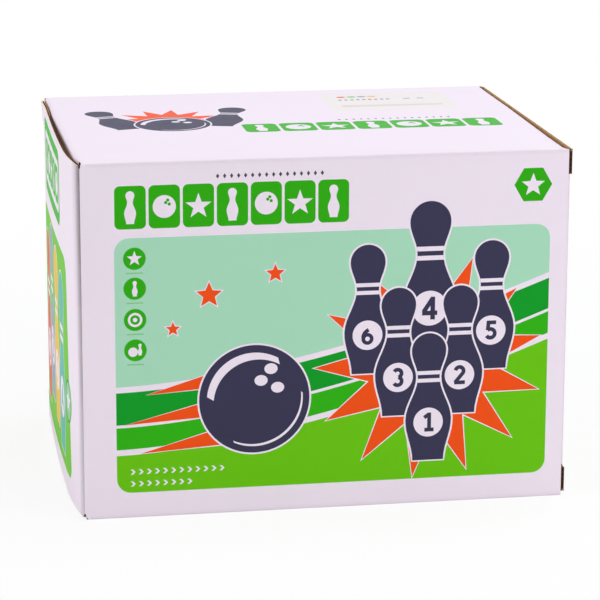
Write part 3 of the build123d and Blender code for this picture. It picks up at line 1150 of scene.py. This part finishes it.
flaps = {
    "foot": {"left": 1.0, "right": 3.0},    # closures' lower edges over the floor
    "lean": 1.2,                      # left closure's free edge, that far out of its place
    "crestPlace": 65.0,               # of the left closure's bulge, from its hinge
    "paleEdge": 190.0,                # from the hinge, where its dark top edge turns pale
    "paleCorner": (5.0, 1.0),         # of the right closure's top edge: long, and down from its top
    "slit": 0.8,                      # between a closure's shoulder and its tuck flap
    "tuckLength": 24.0,
    "tuckRound": 8.0,
    "dustLock": (15, 19),             # heights of the lock shoulder's two ends over the hinge
    "dustNotch": (3, 11),             # how far the shoulder and the free edge stay off the tuck flap
    "dustSlant": 0.8,                 # sideways to each unit of length
    "dustRound": (0, 0, 5.4, 0, 6, 6),      # radius of each corner, from the slanted side's foot on
}
slitLow, slitHigh = tuckLow[2] - flaps["slit"], tuckHigh[2] + flaps["slit"]
tuckLength, tuckRound = flaps["tuckLength"], flaps["tuckRound"]
printedEnd = endArt()


# rise of the left closure by the distance from its hinge: two arcs that meet level at the crest,
# near enough parabolas, and no rise past the tuck crease but the lean. Its upper back corner is
# bent out by the square of the way in to it.
def bulgeAt(distance, height):
    radius, crestPlace, lean = carton["foldRadius"], flaps["crestPlace"], flaps["lean"]
    last = cartonDepth - tuckCorner - radius
    rising = crest * (1 - ((crestPlace - np.clip(distance, radius, crestPlace)) / (crestPlace - radius)) ** 2)
    run = (np.clip(distance, crestPlace, last) - crestPlace) / (last - crestPlace)
    sideways = np.clip((distance - last + bentCorner["wide"]) / bentCorner["wide"], 0, 1)
    upwards = np.clip((height - bentCorner["from"]) / bentCorner["tall"], 0, 1)
    return rising - (crest - lean) * run ** 2 + bentCorner["out"] * (sideways * upwards) ** 2


# its two shoulders stand past the tuck crease, above and below the slits
def closureOutline(foot, drop):
    start, top = tuckCorner + reach, cartonHeight - drop
    return np.array([
        (0, foot), (cartonDepth - reach, foot), (cartonDepth - reach, top), (0, top),
        (0, slitHigh), (start, slitHigh), (start, slitLow), (0, slitLow),
    ], float)


# slanted on the hinge's side and notched on the lock's, with the free edge's corners rounded
def dustOutline(top):
    insetHinge, lockReach = dustLow[1] - frontFace, dustHigh[1] - frontFace
    long = cartonHeight - dustLow[2]
    tuckSide = cartonDepth - tuckCorner - boardThickness
    (lockLow, lockHigh), (notch, inset) = flaps["dustLock"], flaps["dustNotch"]
    outline = rounded([
        (insetHinge, reach), (lockReach, reach), (lockReach, lockLow), (tuckSide - notch, lockHigh),
        (tuckSide - inset, long), (insetHinge + flaps["dustSlant"] * long, long),
    ], flaps["dustRound"])
    outline[:, 0] = cartonDepth - outline[:, 0]
    if top:
        outline[:, 1] = cartonHeight - outline[:, 1]
        return outline
    return outline[::-1]


# how far the top left fold is rounded out, kept behind the closure
def crownAt(distance):
    room = bulgeAt(distance, cartonHeight) - topWall["crownRoom"]
    return np.minimum(np.clip(room, 0, None), topWall["crown"])


# the top right fold stands in from the closure, but for its two ends
def hollowAt(distance):
    fromEnd = np.minimum(distance, cartonDepth - distance)
    return -topWall["hollow"] * np.clip(fromEnd / topWall["hollowEnds"], 0, 1)


# left closure's top edge is painted dark, as the shade that the top wall's fold casts on it, but for its back
# end
def closureEdges(points, rim, across):
    start = points[rim[:, 0]]
    along = (start[:, 0] > cartonDepth - flaps["paleEdge"]) & (start[:, 1] > cartonHeight / 2)
    return np.where(along, shadedEdgeSlot, rimSlots(points, rim, across))


# right closure's top edge is pale at its free corner
def cornerEdges(points, rim, across):
    start = points[rim[:, 0]]
    slots = rimSlots(points, rim, across)
    long, deep = flaps["paleCorner"]
    free = (start[:, 0] < long) & (start[:, 1] > cartonHeight - deep)
    return np.where((slots == goldenSlot) & free, paleSlot, slots)


# no bulge
def level(distance, height):
    return 0 * distance


for side, (face, way, step) in sides.items():
    along = y * way                   # from the free edge towards the hinge, seen from outside
    start = -along * cartonDepth / 2
    bowed = side == "left"
    closure, tuck = side + "_closure", side + "_tuck_flap"
    lean, drop = (flaps["lean"], crestDrop) if bowed else (0, 0)
    foot = flaps["foot"][side]
    foldAt = crownAt if bowed else hollowAt

    def closureRise(flat):
        return bulgeAt(cartonDepth - flat[:, 0], flat[:, 1])

    def dustRise(flat):
        depth = np.clip((cartonHeight - flat[:, 1]) / crease["crownDepth"], 0, 1)
        return foldAt(cartonDepth - flat[:, 0]) * (1 - depth) ** 2

    def fromTuck(distance, height):
        return bulgeAt(cartonDepth - tuckCorner - distance, height) - lean

    def sunkFromBack(distance):
        return sunkAt(cartonDepth - distance)

    if bowed:
        # the left closure's top edge is painted as in shade: dark slots on its cut, and no golden flutes at
        # the edge
        looks = {"lean": closureRise, "edges": closureEdges, "pale": (darkSlot, shadedEdgeSlot), "endFlutes": 0}
    else:
        looks = {"edges": cornerEdges, "pale": (goldenSlot,)}
    makeBoard(side + "_closure_board", closure, closure, start + x * face, along, z,
              closureOutline(foot, drop), {}, printedEnd, hinge=cartonDepth, **looks)
    freeEdge = face - way * (tuckLength - lean)
    tuckOutline = rounded(rectangle(0, tuckLow[2], tuckLength - reach, tuckHigh[2]),
                          (tuckRound, 0, 0, tuckRound))
    makeBoard(side + "_tuck_board", tuck, tuck, start + along * tuckCorner + x * freeEdge, x * way, z,
              tuckOutline, {})
    # the top dust flap follows its fold, which is rounded out at the left and sunk at the right
    dustFace = face - way * step
    dustSpan = (dustLow[1] - frontFace, dustHigh[1] - frontFace)
    for part in ("top", "bottom"):
        dust, top = side + "_" + part + "_dust", part == "top"
        makeBoard(dust + "_board", dust + "_flap", dust + "_flap", start + x * dustFace, along, z,
                  dustOutline(top), {}, lean=dustRise if top else None, fluteAcross=0)

    # creases of this end
    makeCrease(side + "_closure_crease", -start + x * face, -x * way, -along, z,
               (0, cartonHeight), (foot, cartonHeight - drop), (1, 1) if bowed else (0, 1),
               bulge=(level, bulgeAt) if bowed else None, nick=crease["nick"], shadedRubbedFlap=True)
    makeCrease(side + "_tuck_crease", start + along * tuckCorner + x * (face + way * lean),
               along, -x * way, z, (slitLow, slitHigh), (tuckLow[2], tuckHigh[2]), (0, 0),
               bulge=(fromTuck, level) if bowed else None)
    for part, height, down in (("top", cartonHeight, -z), ("bottom", 0.0, z)):
        dust, top = side + "_" + part + "_dust", part == "top"
        makeCrease(dust + "_crease", -start + x * dustFace + z * height, -x * way,
                   down, -along, (0, cartonDepth), dustSpan, (1, 1), crown=foldAt if top else None,
                   sunk=sunkFromBack if top and not bowed else None,
                   caps=(darkSlot, paleSlot) if top and bowed else (darkSlot, darkSlot))
print("closures, tuck flaps, dust flaps and creases made")

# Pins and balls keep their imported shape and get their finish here

pinColours = {
    "pin_1": "F0B82E", "pin_2": "3C78C8", "pin_3": "D8402C",
    "pin_4": "3FA447", "pin_5": "E8722A", "pin_6": "7C8794",
}
ballColours = {"ball_1": "38365A", "ball_2": "EA5A1E"}
neckBands = ((140, 146), (150, 156))  # heights between which a pin is white
foam = {
    "grain": (420.0, 3.0),            # scale and detail
    "cloud": (22.0, 2.0),
    "cloudShades": (0.88, 1.06),      # of the colour
    "band": "F4F0F0",
    "roughness": (0.32, 0.46),
    "bump": (0.3, 0.0001),
}


# foam with a grained skin, and white bands between given heights
def mouldedPlastic(name, code, bands=()):
    material, tree = newMaterial(name)
    place = tree.place()
    grain = tree.noise(place, *foam["grain"])
    cloud = tree.noise(place, *foam["cloud"])
    colour = tree.mixed(cloud, *(rgba(linear(code) * shade) for shade in foam["cloudShades"]))
    for low, high in bands:
        height = tree.add("ShaderNodeSeparateXYZ", 2, i0=place)
        above = tree.maths("GREATER_THAN", height, low * mm)
        below = tree.maths("LESS_THAN", height, high * mm)
        colour = tree.mixed(tree.maths("MULTIPLY", above, below), colour, rgba(linear(foam["band"])))
    rough = tree.spread(grain, *foam["roughness"])
    finishMaterial(tree, Base_Color=colour, Roughness=rough, Normal=tree.bump(*foam["bump"], grain))
    return material


for node, code in {**pinColours, **ballColours}.items():
    finish = mouldedPlastic(node + " plastic", code, neckBands if node in pinColours else ())
    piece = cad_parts[node]
    piece.data.materials.clear()
    piece.data.materials.append(finish)


numbered = {
    "height": 69.0,                   # middle of the disc over the pin's foot
    "radius": 19.0,
    "tall": 25.0,                     # the figure on it
    "raised": 0.2,
    "sunk": 0.12,
    "step": 2.2,                      # of its lattice
    "paperInset": 0.01,               # of the printed ground, from the disc's edge
    "fibres": (0.08, 700.0),
    "roughness": (0.3, 0.42),
    "bump": (0.2, 0.00005),
}


# ink on smooth paper
def numberPrint():
    material, tree = newMaterial("printed number")
    ink = tree.add("ShaderNodeAttribute", 0, set_attribute_name="ink")
    colour, height = fibred(tree, ink, *numbered["fibres"])
    rough = tree.spread(height, *numbered["roughness"])
    finishMaterial(tree, Base_Color=colour, Roughness=rough, Normal=tree.bump(*numbered["bump"], height))
    return material


printed = numberPrint()


# disc with a figure, drawn flat and wrapped round the pin: its width becomes an angle at the pin's
# radius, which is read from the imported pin's rings of points
def makeNumber(node, figure, facing):
    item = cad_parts[node]
    places = np.empty(3 * len(item.data.vertices))
    item.data.vertices.foreach_get("co", places)
    world = np.array(item.matrix_world)
    places = (places.reshape(-1, 3) @ world[:3, :3].T + world[:3, 3]) / mm
    low, high = span(node)
    centre = (low + high) / 2
    heights, group = np.unique(places[:, 2].round(1), return_inverse=True)
    radii = np.zeros(len(heights))
    np.maximum.at(radii, group.ravel(), np.hypot(*(places - centre)[:, :2].T))
    outline = oval(0, 0, numbered["radius"], steps=64)
    lines = np.arange(-numbered["radius"], numbered["radius"], numbered["step"])
    inks[node] = linear(pinColours[node])
    art = [("paper", oval(0, 0, numbered["radius"] - numbered["paperInset"], steps=64))]
    art += numeral(figure, 0, 0, numbered["tall"], node, "paper")
    flat, faces, colours = tile(outline, art, lines, lines)
    points, sets = shell(flat, faces, numbered["raised"], -numbered["sunk"])
    height = low[2] + numbered["height"] + points[:, 1]
    radius = np.interp(height, heights, radii)
    angle = math.radians(facing) + points[:, 0] / radius
    out = (radius + points[:, 2])[:, None]
    wrapped = np.column_stack([centre[:2] + out * np.column_stack([np.cos(angle), np.sin(angle)]), height])
    triangles = np.vstack(sets)
    colours = np.vstack([colours, np.tile(inks["paper"], (len(triangles) - len(colours), 1))])
    rim = np.arange(len(triangles)) >= 2 * len(faces)
    piece = buildMesh(node + "_number", wrapped, triangles, [printed], 0 * rim, rim, {"ink": colours})
    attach(piece, "sleeve")


pinSlots = ("pin_yellow", "pin_blue", "pin_red", "pin_green", "pin_orange", "pin_grey")
for figure, (node, slot) in enumerate(zip(pinColours, pinSlots), 1):
    makeNumber(node, figure, 180 if figure <= 3 else 0)
print("pins and balls finished")

# Camera, light and floor

view = {
    "place": (-328.4, -1893.4, 589.4),
    "yaw": 10.01,
    "pitch": 13.93,
    "roll": 0.155,
    "lens": 168.46,
    "sensor": 36.0,
    "clip": (0.05, 50.0),             # nearest and farthest sight, in metres
}


# looks along its yaw and pitch, in degrees, and is turned about that line by its roll
def makeCamera():
    yaw, pitch, roll = (math.radians(view[key]) for key in ("yaw", "pitch", "roll"))
    ahead = Vector((math.sin(yaw) * math.cos(pitch), math.cos(yaw) * math.cos(pitch), -math.sin(pitch)))
    across = Vector((math.cos(yaw), -math.sin(yaw), 0))
    over = across.cross(ahead)
    right = across * math.cos(roll) + over * math.sin(roll)
    upward = over * math.cos(roll) - across * math.sin(roll)
    camera = bpy.data.objects.new("camera", bpy.data.cameras.new("camera"))
    turn = Matrix((right, upward, -ahead)).transposed().to_4x4()
    camera.matrix_world = Matrix.Translation(Vector(view["place"]) * mm) @ turn
    camera.data.lens = view["lens"]
    camera.data.sensor_width = view["sensor"]
    camera.data.clip_start, camera.data.clip_end = view["clip"]
    bpy.context.scene.collection.objects.link(camera)
    bpy.context.scene.camera = camera


# place, aim, size across, watts and tint, in metres
lamps = {
    "overhead": ((0.5, 0.0, 2.4), (0, 0, 0.12), 1.8, 21.0, (1, 1, 1)),
    "front": ((1.6, -1.2, 0.75), (0.08, 0, 0.1), 1.2, 14.0, (1, 1, 1)),
    "side": ((-2.6, -0.4, 1.3), (0, 0, 0.12), 1.8, 30.0, (1, 1, 1)),
    "rear": ((1.8, 2.2, 1.5), (0, 0, 0.12), 2.0, 10.0, (0.5, 0.9, 1)),
}
studio = {
    "ambient": 0.42,                  # strength of the world's light
    "floorRadius": 2.4,
    "floorFade": (0.35, 0.9),         # where the floor starts to fade into the background, and is gone
    "floorVeil": 0.85,                # how far it is faded everywhere
    "floorShade": (0.93, 0.93, 0.93, 1),
}


# round lamps turned towards what they aim at
def makeLamps():
    for name, (place, aim, size, watts, tint) in lamps.items():
        light = bpy.data.lights.new(name, "AREA")
        light.shape = "DISK"
        light.size, light.energy, light.color = size, watts, tint
        item = bpy.data.objects.new(name, light)
        turn = (Vector(aim) - Vector(place)).to_track_quat("-Z", "Y").to_matrix().to_4x4()
        item.matrix_world = Matrix.Translation(Vector(place)) @ turn
        bpy.context.scene.collection.objects.link(item)


# dim light from all round, and plain white where the camera, gloss or glass sees it
def makeWorld():
    world = bpy.data.worlds.new("studio")
    world.use_nodes = True
    world.node_tree.nodes.clear()
    tree = Tree(world.node_tree)
    rays = world.node_tree.nodes.new("ShaderNodeLightPath")
    seen = tree.maths("MAXIMUM", rays.outputs["Is Camera Ray"], rays.outputs["Is Glossy Ray"])
    seen = tree.maths("MAXIMUM", seen, rays.outputs["Is Transmission Ray"])
    strength = tree.spread(seen, studio["ambient"], 1.0)
    background = tree.add("ShaderNodeBackground", 0, Color=(1, 1, 1, 1), Strength=strength)
    output = world.node_tree.nodes.new("ShaderNodeOutputWorld")
    world.node_tree.links.new(background, output.inputs["Surface"])
    bpy.context.scene.world = world


# floor: a disc of rings of points at even radii, which fades into the white background
def makeFloor(rings=24, steps=96):
    around = np.linspace(0, 2 * math.pi, steps, endpoint=False)
    radii = np.linspace(0, studio["floorRadius"], rings + 1)[1:]
    away, height = radii[:, None, None], np.zeros((rings, steps, 1))
    disc = np.concatenate([away * np.column_stack([np.cos(around), np.sin(around)]), height], -1)
    index = 1 + np.arange(rings * steps).reshape(rings, steps)
    ahead = np.roll(index, -1, 1)
    fan = np.column_stack([0 * index[0], index[0], ahead[0]])
    quads = np.stack([index[:-1], index[1:], ahead[1:], ahead[:-1]], -1).reshape(-1, 4)
    mesh = bpy.data.meshes.new("floor")
    mesh.from_pydata([(0, 0, 0)] + disc.reshape(-1, 3).tolist(), [], fan.tolist() + quads.tolist())
    floor = bpy.data.objects.new("floor", mesh)
    bpy.context.scene.collection.objects.link(floor)
    material, tree = newMaterial("pale floor")
    distance = tree.add("ShaderNodeVectorMath", 1, set_operation="LENGTH", i0=tree.place())
    start, end = studio["floorFade"]
    fade = tree.add("ShaderNodeMapRange", 0, set_interpolation_type="SMOOTHSTEP", Value=distance,
                    From_Min=start, From_Max=end, To_Min=0.0, To_Max=1.0)
    shade = tree.add("ShaderNodeBsdfDiffuse", 0, Color=studio["floorShade"])
    clear = tree.add("ShaderNodeBsdfTransparent", 0, Color=(1, 1, 1, 1))
    rays = tree.tree.nodes.new("ShaderNodeLightPath")
    veil = tree.spread(fade, studio["floorVeil"], 1.0)
    faded = tree.maths("MULTIPLY", veil, rays.outputs["Is Camera Ray"])
    mixed = tree.add("ShaderNodeMixShader", 0, i0=faded, i1=shade, i2=clear)
    output = tree.tree.nodes.new("ShaderNodeOutputMaterial")
    tree.tree.links.new(mixed, output.inputs["Surface"])
    mesh.materials.append(material)


makeCamera()
makeLamps()
makeWorld()
makeFloor()
bpy.context.scene.view_settings.view_transform = "Standard"
print("camera, lamps, background and floor made")
